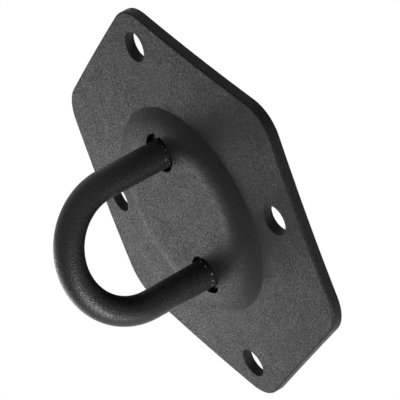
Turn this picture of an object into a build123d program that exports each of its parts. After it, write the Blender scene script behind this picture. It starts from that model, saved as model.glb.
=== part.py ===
"""Exercise wall anchor: a pressed hexagonal wall plate that carries a welded U-shaped loop of bent rod.

Frame: the plate's flat back lies in the XZ plane at Y = 0, against the wall. The loop stands out towards -Y,
+Z is up, and the origin is the centre of the back face. Millimetres.
"""
import os
from math import atan2, tan

from build123d import *

# Wall plate: a hexagon with a corner up and a corner down
ACROSS_CORNERS = 145.0
CORNER_RADIUS = 14.0
SHEET = 3.5
RIM_BREAK = 0.5

# Round boss, pressed forward out of the middle of the same sheet; its radii are at the sharp corners of the bends
BOSS_FOOT_RADIUS = 39.2
BOSS_TOP_RADIUS = 33.2
BOSS_HEIGHT = 6.0
FOOT_BEND = 5.0
SHOULDER_BEND = 10.0
FLAT_MARGIN = 5.0

# Screw holes: one near the top and bottom corners, one near each side
SCREW_HOLE = 10.2
UPRIGHT_SPACING = 116.6
LEVEL_SPACING = 99.0
HOLE_BREAK = 0.35

# Loop: one straight rod bent into a U
ROD = 10.2
LEG_SPACING = 44.0
LOOP_REACH = 59.0
ROD_END_GAP = 2.0
ROD_END_CHAMFER = 0.8

# Holes in the boss for the rod, and the weld beads behind them
ROD_HOLE = 13.6
ROD_HOLE_BREAK = 0.2
WELD_ON_BOSS = 2.8
WELD_ON_ROD = 3.2
WELD_ROOT = 1.2
WELD_CROWN = 0.5

LEG = LEG_SPACING / 2
BEND_START = LOOP_REACH - ROD / 2 - LEG
BOSS_FACE = SHEET + BOSS_HEIGHT
BOSS_ROOF = BOSS_HEIGHT
LEG_SIDES = {"upper": 1, "lower": -1}
SCREW_PLACES = [
    (0, UPRIGHT_SPACING / 2),
    (0, -UPRIGHT_SPACING / 2),
    (LEVEL_SPACING / 2, 0),
    (-LEVEL_SPACING / 2, 0),
]

# Each piece is drawn lying on its back, X to the right, Y up the wall and Z out of it, and then stood on the wall
ON_WALL = Plane(origin=(0, 0, 0), x_dir=(1, 0, 0), z_dir=(0, -1, 0)).location


def circles(solid, radius, height):
    """The round edges of one radius that lie at one height above the wall."""
    rings = solid.edges().filter_by(GeomType.CIRCLE)
    rings = rings.filter_by(lambda edge: abs(edge.radius - radius) < 0.01)
    return rings.filter_by(lambda edge: abs(edge.arc_center.Z - height) < 0.01)


def pressed_middle():
    """The boss and a ring of flat round it: the sheet steps outwards through two bends at one thickness."""
    slope = atan2(BOSS_HEIGHT, BOSS_FOOT_RADIUS - BOSS_TOP_RADIUS)
    skin_shift = SHEET * tan(slope / 2)
    flat_end = BOSS_FOOT_RADIUS + FLAT_MARGIN
    front = [(flat_end, SHEET), (BOSS_FOOT_RADIUS, SHEET), (BOSS_TOP_RADIUS, BOSS_FACE), (0, BOSS_FACE)]
    roof_edge = (BOSS_TOP_RADIUS - skin_shift, BOSS_ROOF)
    back_edge = (BOSS_FOOT_RADIUS - skin_shift, 0)
    back = [(0, BOSS_ROOF), roof_edge, back_edge, (flat_end, 0)]
    with BuildPart() as middle:
        with BuildSketch(Plane.XZ):
            with BuildLine():
                FilletPolyline(*front, radius=[FOOT_BEND, SHOULDER_BEND])
                Line(front[-1], back[0])
                FilletPolyline(*back, radius=[SHOULDER_BEND - SHEET, FOOT_BEND + SHEET])
                Line(back[-1], front[0])
            make_face()
        revolve(axis=Axis.Z)
    return middle.part


def make_base_plate():
    """Blank the hexagon, punch the screw holes, press the boss, punch the rod holes, and break the front edges."""
    flat_end = BOSS_FOOT_RADIUS + FLAT_MARGIN
    with BuildPart() as plate:
        with BuildSketch():
            outline = RegularPolygon(ACROSS_CORNERS / 2, 6, rotation=30)
            fillet(outline.vertices(), CORNER_RADIUS)
        extrude(amount=SHEET)
        rim = plate.faces().sort_by(Axis.Z)[-1].edges()
        chamfer(rim, RIM_BREAK)
        with Locations(*SCREW_PLACES):
            Cylinder(SCREW_HOLE / 2, SHEET, align=(Align.CENTER, Align.CENTER, Align.MIN), mode=Mode.SUBTRACT)
        chamfer(circles(plate.part, SCREW_HOLE / 2, SHEET), HOLE_BREAK)
        Cylinder(flat_end, SHEET, align=(Align.CENTER, Align.CENTER, Align.MIN), mode=Mode.SUBTRACT)
        add(pressed_middle())
        with Locations((0, LEG, BOSS_ROOF), (0, -LEG, BOSS_ROOF)):
            Cylinder(ROD_HOLE / 2, SHEET, align=(Align.CENTER, Align.CENTER, Align.MIN), mode=Mode.SUBTRACT)
        chamfer(circles(plate.part, ROD_HOLE / 2, BOSS_FACE), ROD_HOLE_BREAK)
    return plate.part


def make_loop():
    """One rod: a straight leg, a half turn round the eye and the other leg, with its end edges chamfered."""
    with BuildPart() as loop:
        with BuildLine() as route:
            Line((0, LEG, ROD_END_GAP), (0, LEG, BEND_START))
            ThreePointArc((0, LEG, BEND_START), (0, 0, BEND_START + LEG), (0, -LEG, BEND_START))
            Line((0, -LEG, BEND_START), (0, -LEG, ROD_END_GAP))
        with BuildSketch(Plane(origin=(0, LEG, ROD_END_GAP), z_dir=(0, 0, 1))):
            Circle(ROD / 2)
        sweep(path=route.wires()[0])
        chamfer(circles(loop.part, ROD / 2, ROD_END_GAP), ROD_END_CHAMFER)
    return loop.part


def make_weld(side, plate):
    """The fillet bead round one rod end: it fills the back of the gap and spreads on the rod and the boss's roof."""
    rod_wall = ROD / 2
    hole_wall = ROD_HOLE / 2
    toe = (hole_wall + WELD_ON_BOSS, BOSS_ROOF)
    tip = (rod_wall, BOSS_ROOF - WELD_ON_ROD)
    crown = ((toe[0] + tip[0]) / 2 + WELD_CROWN, (toe[1] + tip[1]) / 2 - WELD_CROWN)
    root = BOSS_ROOF + WELD_ROOT
    with BuildPart() as weld:
        with BuildSketch(Plane.XZ):
            with BuildLine():
                Polyline(tip, (rod_wall, root), (hole_wall, root), (hole_wall, BOSS_ROOF), toe, crown, close=True)
            make_face()
        revolve(axis=Axis.Z)
    return Pos(0, side * LEG, 0) * weld.part - plate


base_plate = make_base_plate()
pieces = {"base_plate": base_plate, "loop": make_loop()}
for name, side in LEG_SIDES.items():
    pieces[name + "_weld"] = make_weld(side, base_plate)

os.makedirs("parts", exist_ok=True)
for name, piece in pieces.items():
    export_step(ON_WALL * piece, f"parts/{name}.step")
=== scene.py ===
from math import acos, cos, pi, radians

import bmesh
import bpy
import numpy as np
from mathutils import Matrix, Vector


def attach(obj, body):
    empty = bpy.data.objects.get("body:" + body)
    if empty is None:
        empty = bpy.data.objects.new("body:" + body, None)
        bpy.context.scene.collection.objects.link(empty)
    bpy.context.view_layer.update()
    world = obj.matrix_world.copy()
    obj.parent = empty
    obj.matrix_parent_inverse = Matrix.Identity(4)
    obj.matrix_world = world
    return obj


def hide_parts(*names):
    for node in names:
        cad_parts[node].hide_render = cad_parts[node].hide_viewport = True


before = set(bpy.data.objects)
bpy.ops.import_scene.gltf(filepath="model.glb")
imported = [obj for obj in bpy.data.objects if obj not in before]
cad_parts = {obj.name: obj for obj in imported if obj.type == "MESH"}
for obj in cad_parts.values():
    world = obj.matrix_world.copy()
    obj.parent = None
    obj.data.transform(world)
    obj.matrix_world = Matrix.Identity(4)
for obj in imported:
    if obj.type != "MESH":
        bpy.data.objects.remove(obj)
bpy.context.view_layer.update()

# Base plate
# One sheet of steel, blanked as a hexagon, punched, and pressed forward to a round boss. The pressing
# dishes the flange too, so its corners touch the wall and the boss's foot stands off it. Black powder,
# sprayed on and melted, gives the plate a fine sandy skin.
ACROSS_CORNERS = 0.145
CORNER_RADIUS = 0.014
SHEET = 0.0035
FLANGE_RISE = 0.0021
BOSS_FOOT_RADIUS = 0.0374
BOSS_TOP_RADIUS = 0.0318
BOSS_FACE = 0.0095
FOOT_BEND = 0.0009
SHOULDER_BEND = 0.019
SCREW_HOLE = 0.0102
UPRIGHT_SPACING = 0.1166
LEVEL_SPACING = 0.099
ROD_HOLE = 0.0136
ROD_HOLE_SPACING = 0.045
RIM_BREAK = 0.0006
HOLE_BREAK = 0.0004
PAST_CORNER = 0.005
LAST_CIRCLE = 0.0443
COLUMNS = 360
BOSS_RINGS = 24
FOOT_RINGS = 8
FLANGE_RINGS = 24
BEND_POINTS = 13
EDGE_POINTS = 5
SHARP_ANGLE = radians(50)
PLATE_COAT = (0.0065, 0.0063, 0.0068)
PLATE_ROUGHNESS = 0.5
PLATE_SHINE = 0.09
PLATE_MOTTLE = 0.4
PLATE_GRAIN_DEPTH = 0.00019
GRAIN_SIZE = 0.0006
GRAIN_TONE = 2.3
GRAIN_DETAIL = 2.5
GRAIN_ROUGHNESS = 0.6
MOTTLE_SIZE = 0.006
MOTTLE_DETAIL = 3.0
NOISE_TURN = (0.6, 0.4, 0.9)


def bent_line(corners, bends):
    """Points along a line whose inner corners are rounded.

    Each arc touches both sides of its corner, at bend times the tangent of half the turn from it. Its
    centre lies on the bisector, at bend over the cosine of half the turn.
    """
    pieces = [corners[:1]]
    for before, corner, after, bend in zip(corners, corners[1:], corners[2:], bends):
        back = (before - corner) / np.linalg.norm(before - corner)
        onward = (after - corner) / np.linalg.norm(after - corner)
        half_turn = (pi - acos(back @ onward)) / 2
        inward = (back + onward) / np.linalg.norm(back + onward)
        along = (onward - back) / np.linalg.norm(onward - back)
        sweep = np.linspace(-half_turn, half_turn, BEND_POINTS)[:, None]
        centre = corner + inward * bend / cos(half_turn)
        pieces.append(centre - inward * bend * np.cos(sweep) + along * bend * np.sin(sweep))
    pieces.append(corners[-1:])
    return np.vstack(pieces)


def outline_radius(turn):
    """Distance from the middle to the rounded hexagon's edge.

    Along a side it is the apothem over the cosine of the angle to the side's normal. Near a corner it is
    the far crossing with the corner's circle.
    """
    apothem = ACROSS_CORNERS / 2 * cos(pi / 6)
    corner = (apothem - CORNER_RADIUS) / cos(pi / 6)
    off = (turn - pi / 3) % (pi / 3) - pi / 6
    side = apothem / np.cos(pi / 6 - np.abs(off))
    inside = np.maximum(CORNER_RADIUS**2 - (corner * np.sin(off)) ** 2, 0)
    touch = np.arctan2(CORNER_RADIUS / 2, corner + CORNER_RADIUS * cos(pi / 6))
    return np.where(np.abs(off) < touch, corner * np.cos(off) + np.sqrt(inside), side)


def sheet_lines():
    """Front and back of the sheet, each as height over the wall against distance from the middle.

    The front is level on the boss, then an arc, the boss's wall, an arc and the flange's slope. The back
    is the same line moved by the sheet's thickness along its normal.
    """
    reach = float(outline_radius(np.array([pi / 2]))[0])
    slope = FLANGE_RISE / (reach - BOSS_FOOT_RADIUS)
    corners = np.array([
        (0, BOSS_FACE),
        (BOSS_TOP_RADIUS, BOSS_FACE),
        (BOSS_FOOT_RADIUS, SHEET + FLANGE_RISE),
        (reach + PAST_CORNER, SHEET - slope * PAST_CORNER),
    ])
    front = bent_line(corners, (SHOULDER_BEND, FOOT_BEND))
    step = np.gradient(front, axis=0)
    normal = np.stack([-step[:, 1], step[:, 0]], 1) / np.linalg.norm(step, axis=1, keepdims=True)
    return front, front - SHEET * normal


def ring_grid(front):
    """Points on rings round the middle, and the quads between them.

    The rings are circles up to the last circle, and from there turn into the hexagon by even shares of
    the way out to it.
    """
    boss_rings = np.linspace(0, front[1, 0], BOSS_RINGS)
    foot_rings = np.linspace(front[-2, 0], LAST_CIRCLE, FOOT_RINGS)
    circles = np.unique(np.concatenate([boss_rings, front[1:-1, 0], foot_rings]))
    turn = np.linspace(0, 2 * pi, COLUMNS, endpoint=False)
    share = np.linspace(0, 1, FLANGE_RINGS + 1)[1:, None]
    hexagons = LAST_CIRCLE + share * (outline_radius(turn) - LAST_CIRCLE)
    radius = np.vstack([np.repeat(circles[:, None], COLUMNS, 1), hexagons])
    plan = np.stack([radius * np.cos(turn), radius * np.sin(turn)], -1).reshape(-1, 2)
    ring, column = np.meshgrid(np.arange(len(radius) - 1), np.arange(COLUMNS), indexing="ij")
    beside = (column + 1) % COLUMNS
    near = np.stack([ring * COLUMNS + column, ring * COLUMNS + beside], -1)
    far = (near + COLUMNS)[..., ::-1]
    return plan, np.concatenate([near, far], -1).reshape(-1, 4)


def punch(plan, cells):
    """Cut the holes: which cells go, and for each point on an edge the direction into the metal.

    The cells whose middle lies in a hole go, and the points that border them move on to the hole's circle.
    """
    holes = [(0, side * UPRIGHT_SPACING / 2, SCREW_HOLE / 2) for side in (1, -1)]
    holes += [(side * LEVEL_SPACING / 2, 0, SCREW_HOLE / 2) for side in (1, -1)]
    holes += [(0, side * ROD_HOLE_SPACING / 2, ROD_HOLE / 2) for side in (1, -1)]
    metalward = np.zeros_like(plan)
    cut = np.zeros(len(cells), bool)
    for x, z, size in holes:
        inside = np.linalg.norm(plan[cells].mean(1) - (x, z), axis=1) < size
        border = np.intersect1d(cells[inside], cells[~inside])
        away = plan[border] - (x, z)
        metalward[border] = away / np.linalg.norm(away, axis=1, keepdims=True)
        plan[border] = (x, z) + metalward[border] * size
        cut |= inside
    rim = plan[-COLUMNS:]
    metalward[-COLUMNS:] = -rim / np.linalg.norm(rim, axis=1, keepdims=True)
    return cut, metalward


def plate_surface():
    """The pressed sheet as one closed shell: the punched grid, laid on the sheet's front and back lines.

    The rim and the border of each hole get a rounded edge, a quarter turn of their edge break, and a wall
    to the back.
    """
    front, back = sheet_lines()
    plan, cells = ring_grid(front)
    cut, metalward = punch(plan, cells)
    count = len(plan)
    rim_start = count - COLUMNS
    sides = np.stack([cells, np.roll(cells, -1, axis=1)], -1)
    keys = np.sort(sides, -1) @ np.array([count, 1])
    on_hole = np.isin(keys[~cut], keys[cut])
    on_rim = (sides[~cut] >= rim_start).all(-1)
    edges = sides[~cut][on_hole | on_rim]
    edge_break = np.where(np.arange(count) < rim_start, HOLE_BREAK, RIM_BREAK)

    def layer(inset, drop, line):
        """Every grid point, moved into the metal and back from the line by shares of its edge break."""
        spot = plan + metalward * (edge_break * inset)[:, None]
        height = np.interp(np.linalg.norm(spot, axis=1), line[:, 0], line[:, 1])
        return np.stack([spot[:, 0], edge_break * drop - height, spot[:, 1]], 1)

    quarter = np.linspace(0, pi / 2, EDGE_POINTS)
    layers = [layer(1 - np.sin(angle), 1 - np.cos(angle), front) for angle in quarter]
    layers.append(layer(0, 0, back))
    faces = [cells[~cut], cells[~cut][:, ::-1] + count * (len(layers) - 1)]
    for level in range(len(layers) - 1):
        near = edges + level * count
        far = near + count
        faces.append(np.stack([near[:, 1], near[:, 0], far[:, 0], far[:, 1]], 1))
    points, faces = np.vstack(layers), np.vstack(faces)
    used, faces = np.unique(faces, return_inverse=True)
    return points[used], faces.reshape(-1, 4)


def surface_piece(name, points, faces, sharp_angle):
    """A mesh object from arrays of points and quads, with doubled points merged and faces turned out."""
    mesh = bpy.data.meshes.new(name)
    mesh.from_pydata(points.tolist(), [], faces.tolist())
    shell = bmesh.new()
    shell.from_mesh(mesh)
    bmesh.ops.remove_doubles(shell, verts=shell.verts, dist=1e-6)
    bmesh.ops.recalc_face_normals(shell, faces=shell.faces)
    shell.to_mesh(mesh)
    shell.free()
    mesh.shade_smooth()
    mesh.set_sharp_from_angle(angle=sharp_angle)
    piece = bpy.data.objects.new(name, mesh)
    bpy.context.scene.collection.objects.link(piece)
    return piece


def maths(tree, operation, first, second):
    """The result of one math node. Each of its two inputs is a number or another node's output."""
    node = tree.nodes.new("ShaderNodeMath")
    node.operation = operation
    for socket, value in zip(node.inputs, (first, second)):
        if isinstance(value, (int, float)):
            socket.default_value = value
        else:
            tree.links.new(value, socket)
    return node.outputs[0]


def powder_skin_group():
    """Fine grain and slow mottle of a sandy powder coat, as a tone factor near 1 and a height in metres.

    The noise is turned off the axes, because along a level face its cells would line up and fade.
    """
    group = bpy.data.node_groups.new("powder_skin", "ShaderNodeTree")
    for name in ("Grain Depth", "Mottle Tone"):
        group.interface.new_socket(name, in_out="INPUT", socket_type="NodeSocketFloat")
    for name in ("Tone", "Height"):
        group.interface.new_socket(name, in_out="OUTPUT", socket_type="NodeSocketFloat")
    given = group.nodes.new("NodeGroupInput").outputs
    result = group.nodes.new("NodeGroupOutput").inputs
    place = group.nodes.new("ShaderNodeTexCoord")
    tilt = group.nodes.new("ShaderNodeMapping")
    tilt.inputs["Rotation"].default_value = NOISE_TURN
    group.links.new(place.outputs["Object"], tilt.inputs["Vector"])
    grain = group.nodes.new("ShaderNodeTexNoise")
    grain.inputs["Scale"].default_value = 1 / GRAIN_SIZE
    grain.inputs["Detail"].default_value = GRAIN_DETAIL
    grain.inputs["Roughness"].default_value = GRAIN_ROUGHNESS
    group.links.new(tilt.outputs["Vector"], grain.inputs["Vector"])
    mottle = group.nodes.new("ShaderNodeTexNoise")
    mottle.inputs["Scale"].default_value = 1 / MOTTLE_SIZE
    mottle.inputs["Detail"].default_value = MOTTLE_DETAIL
    group.links.new(tilt.outputs["Vector"], mottle.inputs["Vector"])
    grain_swing = maths(group, "SUBTRACT", grain.outputs["Fac"], 0.5)
    mottle_swing = maths(group, "SUBTRACT", mottle.outputs["Fac"], 0.5)
    grain_tone = maths(group, "MULTIPLY", grain_swing, GRAIN_TONE)
    mottle_tone = maths(group, "MULTIPLY", mottle_swing, given["Mottle Tone"])
    tone = maths(group, "ADD", maths(group, "ADD", grain_tone, mottle_tone), 1.0)
    height = maths(group, "MULTIPLY", grain.outputs["Fac"], given["Grain Depth"])
    group.links.new(tone, result["Tone"])
    group.links.new(height, result["Height"])
    return group


powder_skin = powder_skin_group()


def powder_coat(name, colour, roughness, shine, grain_depth, mottle_tone):
    """A black powder coat: one shader whose colour, roughness and bump follow the powder skin."""
    material = bpy.data.materials.new(name)
    material.use_nodes = True
    tree = material.node_tree
    shader = tree.nodes["Principled BSDF"]
    shader.inputs["Specular IOR Level"].default_value = shine
    skin = tree.nodes.new("ShaderNodeGroup")
    skin.node_tree = powder_skin
    skin.inputs["Grain Depth"].default_value = grain_depth
    skin.inputs["Mottle Tone"].default_value = mottle_tone
    tint = tree.nodes.new("ShaderNodeMix")
    tint.data_type = "RGBA"
    tint.blend_type = "MULTIPLY"
    tint.inputs["Factor"].default_value = 1.0
    tint.inputs["A"].default_value = (*colour, 1.0)
    tree.links.new(skin.outputs["Tone"], tint.inputs["B"])
    tree.links.new(tint.outputs["Result"], shader.inputs["Base Color"])
    rough = maths(tree, "MULTIPLY", skin.outputs["Tone"], roughness)
    tree.links.new(rough, shader.inputs["Roughness"])
    bump = tree.nodes.new("ShaderNodeBump")
    bump.inputs["Distance"].default_value = 1.0
    tree.links.new(skin.outputs["Height"], bump.inputs["Height"])
    tree.links.new(bump.outputs["Normal"], shader.inputs["Normal"])
    return material


def dress(node, material):
    """Give a carried-over solid its finish."""
    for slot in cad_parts[node].material_slots:
        slot.material = material


plate = surface_piece("pressed_plate", *plate_surface(), SHARP_ANGLE)
plate.modifiers.new("even_normals", "WEIGHTED_NORMAL").keep_sharp = True
plate_coat = powder_coat(
    "plate_coat", PLATE_COAT, PLATE_ROUGHNESS, PLATE_SHINE, PLATE_GRAIN_DEPTH, PLATE_MOTTLE
)
plate.data.materials.append(plate_coat)
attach(plate, "root")
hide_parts("base_plate")

# Loop
# One 10 mm steel rod bent cold into a U, with both legs through the boss. The powder sits on it a little
# smoother than on the plate. Round both roots, at the boss's face, light metallic specks are painted on
# as a painted highlight: they stand in for glints.
LOOP_COAT = (0.006, 0.006, 0.0062)
LOOP_ROUGHNESS = 0.4
LOOP_SHINE = 0.2
LOOP_MOTTLE = 0.3
LOOP_GRAIN_DEPTH = 0.0002
# Painted highlight: light metallic specks at the rod's roots stand in for glints.
ROOT_GLINT_COLOUR = (0.30, 0.29, 0.28)
ROOT_GLINT_SIZE = 0.0009
ROOT_GLINT_DETAIL = 1.0
ROOT_GLINT_SHARE = 0.62
ROOT_GLINT_FROM = BOSS_FACE - 0.0004
ROOT_GLINT_TO = BOSS_FACE + 0.0011


def paint_root_glints(material):
    """Painted highlight: 1 where a noise is above its limit inside a narrow band at the boss's face, else
    0.

    There the rod is painted light and metallic, standing in for glints.
    """
    tree = material.node_tree
    shader = tree.nodes["Principled BSDF"]
    place = tree.nodes.new("ShaderNodeTexCoord")
    specks = tree.nodes.new("ShaderNodeTexNoise")
    specks.inputs["Scale"].default_value = 1 / ROOT_GLINT_SIZE
    specks.inputs["Detail"].default_value = ROOT_GLINT_DETAIL
    tree.links.new(place.outputs["Object"], specks.inputs["Vector"])
    split = tree.nodes.new("ShaderNodeSeparateXYZ")
    tree.links.new(place.outputs["Object"], split.inputs["Vector"])
    glinting = maths(tree, "GREATER_THAN", specks.outputs["Fac"], ROOT_GLINT_SHARE)
    past_start = maths(tree, "LESS_THAN", split.outputs["Y"], -ROOT_GLINT_FROM)
    before_end = maths(tree, "GREATER_THAN", split.outputs["Y"], -ROOT_GLINT_TO)
    glint_mask = maths(tree, "MULTIPLY", maths(tree, "MULTIPLY", glinting, past_start), before_end)
    glint_tint = tree.nodes.new("ShaderNodeMix")
    glint_tint.data_type = "RGBA"
    glint_tint.inputs["B"].default_value = (*ROOT_GLINT_COLOUR, 1.0)
    tree.links.new(glint_mask, glint_tint.inputs["Factor"])
    tree.links.new(shader.inputs["Base Color"].links[0].from_socket, glint_tint.inputs["A"])
    tree.links.new(glint_tint.outputs["Result"], shader.inputs["Base Color"])
    tree.links.new(glint_mask, shader.inputs["Metallic"])


loop_coat = powder_coat("loop_coat", LOOP_COAT, LOOP_ROUGHNESS, LOOP_SHINE, LOOP_GRAIN_DEPTH, LOOP_MOTTLE)
# Paints glints at both roots as light metallic specks, a painted highlight.
paint_root_glints(loop_coat)
dress("loop", loop_coat)

# Weld beads
# A bead laid by hand round each end of the loop, behind the boss. It is coated together with the plate
# and comes out as smooth as the rod.
WELD_COAT = (0.008, 0.008, 0.0082)
weld_coat = powder_coat("weld_coat", WELD_COAT, LOOP_ROUGHNESS, LOOP_SHINE, LOOP_GRAIN_DEPTH, LOOP_MOTTLE)
dress("upper_weld", weld_coat)
dress("lower_weld", weld_coat)

# Studio
# White surroundings and a pale floor far below, both of which look white but light the anchor softly. A
# large weak lamp low on the left lights the plate, and a small strong one low on the right gives the rod
# its highlight.
WHITE = (1.0, 1.0, 1.0, 1.0)
FLOOR_LEVEL = -0.8
FLOOR_HALF = 1.2
FLOOR_COLOUR = (0.8, 0.8, 0.8, 1.0)
FLOOR_ROUGHNESS = 0.9
FLOOR_GLOW = 0.85
SKY_LIGHT = 0.45
PLATE_LAMP_PLACE = Vector((-0.37, -0.19, -0.135))
PLATE_LAMP_SIZE = 0.30
PLATE_LAMP_POWER = 0.9
ROD_LAMP_PLACE = Vector((0.325, -0.205, -0.37))
ROD_LAMP_SIZE = 0.15
ROD_LAMP_POWER = 5.4


def background_rays(tree):
    """1 on the rays that see the background: from the camera, from a shiny surface or through glass."""
    rays = tree.nodes.new("ShaderNodeLightPath").outputs
    seen = maths(tree, "MAXIMUM", rays["Is Camera Ray"], rays["Is Glossy Ray"])
    return maths(tree, "MAXIMUM", seen, rays["Is Transmission Ray"])


def lamp(name, place, size, power):
    """A square soft lamp that faces the anchor."""
    light = bpy.data.lights.new(name, "AREA")
    light.size = size
    light.energy = power
    holder = bpy.data.objects.new(name, light)
    holder.location = place
    holder.rotation_euler = (-place).to_track_quat("-Z", "Y").to_euler()
    bpy.context.scene.collection.objects.link(holder)


floor_mesh = bpy.data.meshes.new("floor")
floor_corners = np.array([(-1, -1), (1, -1), (1, 1), (-1, 1)]) * FLOOR_HALF
floor_mesh.from_pydata([(x, y, FLOOR_LEVEL) for x, y in floor_corners.tolist()], [], [(0, 1, 2, 3)])
floor = bpy.data.objects.new("floor", floor_mesh)
bpy.context.scene.collection.objects.link(floor)

paper = bpy.data.materials.new("pale_floor")
paper.use_nodes = True
paper_shader = paper.node_tree.nodes["Principled BSDF"]
paper_shader.inputs["Base Color"].default_value = FLOOR_COLOUR
paper_shader.inputs["Roughness"].default_value = FLOOR_ROUGHNESS
paper_shader.inputs["Emission Color"].default_value = WHITE
glow = maths(paper.node_tree, "MULTIPLY", background_rays(paper.node_tree), FLOOR_GLOW)
paper.node_tree.links.new(glow, paper_shader.inputs["Emission Strength"])
floor_mesh.materials.append(paper)

lamp("plate_lamp", PLATE_LAMP_PLACE, PLATE_LAMP_SIZE, PLATE_LAMP_POWER)
lamp("rod_lamp", ROD_LAMP_PLACE, ROD_LAMP_SIZE, ROD_LAMP_POWER)

world = bpy.data.worlds.new("surroundings")
bpy.context.scene.world = world
world.use_nodes = True
sky = world.node_tree.nodes["Background"]
sky.inputs["Color"].default_value = WHITE
strength = world.node_tree.nodes.new("ShaderNodeMapRange")
strength.inputs["To Min"].default_value = SKY_LIGHT
strength.inputs["To Max"].default_value = 1.0
world.node_tree.links.new(background_rays(world.node_tree), strength.inputs["Value"])
world.node_tree.links.new(strength.outputs["Result"], sky.inputs["Strength"])

# Camera
# The photograph's view: well round to the right of the loop and a little above, from 0.95 m, with the
# anchor leaning in the frame.
VIEW_AZIMUTH = 62.68
VIEW_ELEVATION = 16.39
VIEW_ROLL = -20.54
VIEW_DISTANCE = 0.9495
VIEW_AIM = Vector((-0.00101, -0.00084, 0.00112))
LENS = 257.5
SENSOR_WIDTH = 36.0
CLIP_START = 0.01
view_turn = Matrix.Rotation(radians(VIEW_AZIMUTH), 4, "Z")
view_turn = view_turn @ Matrix.Rotation(radians(90 - VIEW_ELEVATION), 4, "X")
view_turn = view_turn @ Matrix.Rotation(radians(VIEW_ROLL), 4, "Z")
camera_data = bpy.data.cameras.new("camera")
camera_data.lens = LENS
camera_data.sensor_width = SENSOR_WIDTH
camera_data.clip_start = CLIP_START
camera = bpy.data.objects.new("camera", camera_data)
camera.matrix_world = Matrix.Translation(VIEW_AIM) @ view_turn @ Matrix.Translation((0, 0, VIEW_DISTANCE))
bpy.context.scene.collection.objects.link(camera)
bpy.context.scene.camera = camera
bpy.context.scene.view_settings.view_transform = "Standard"
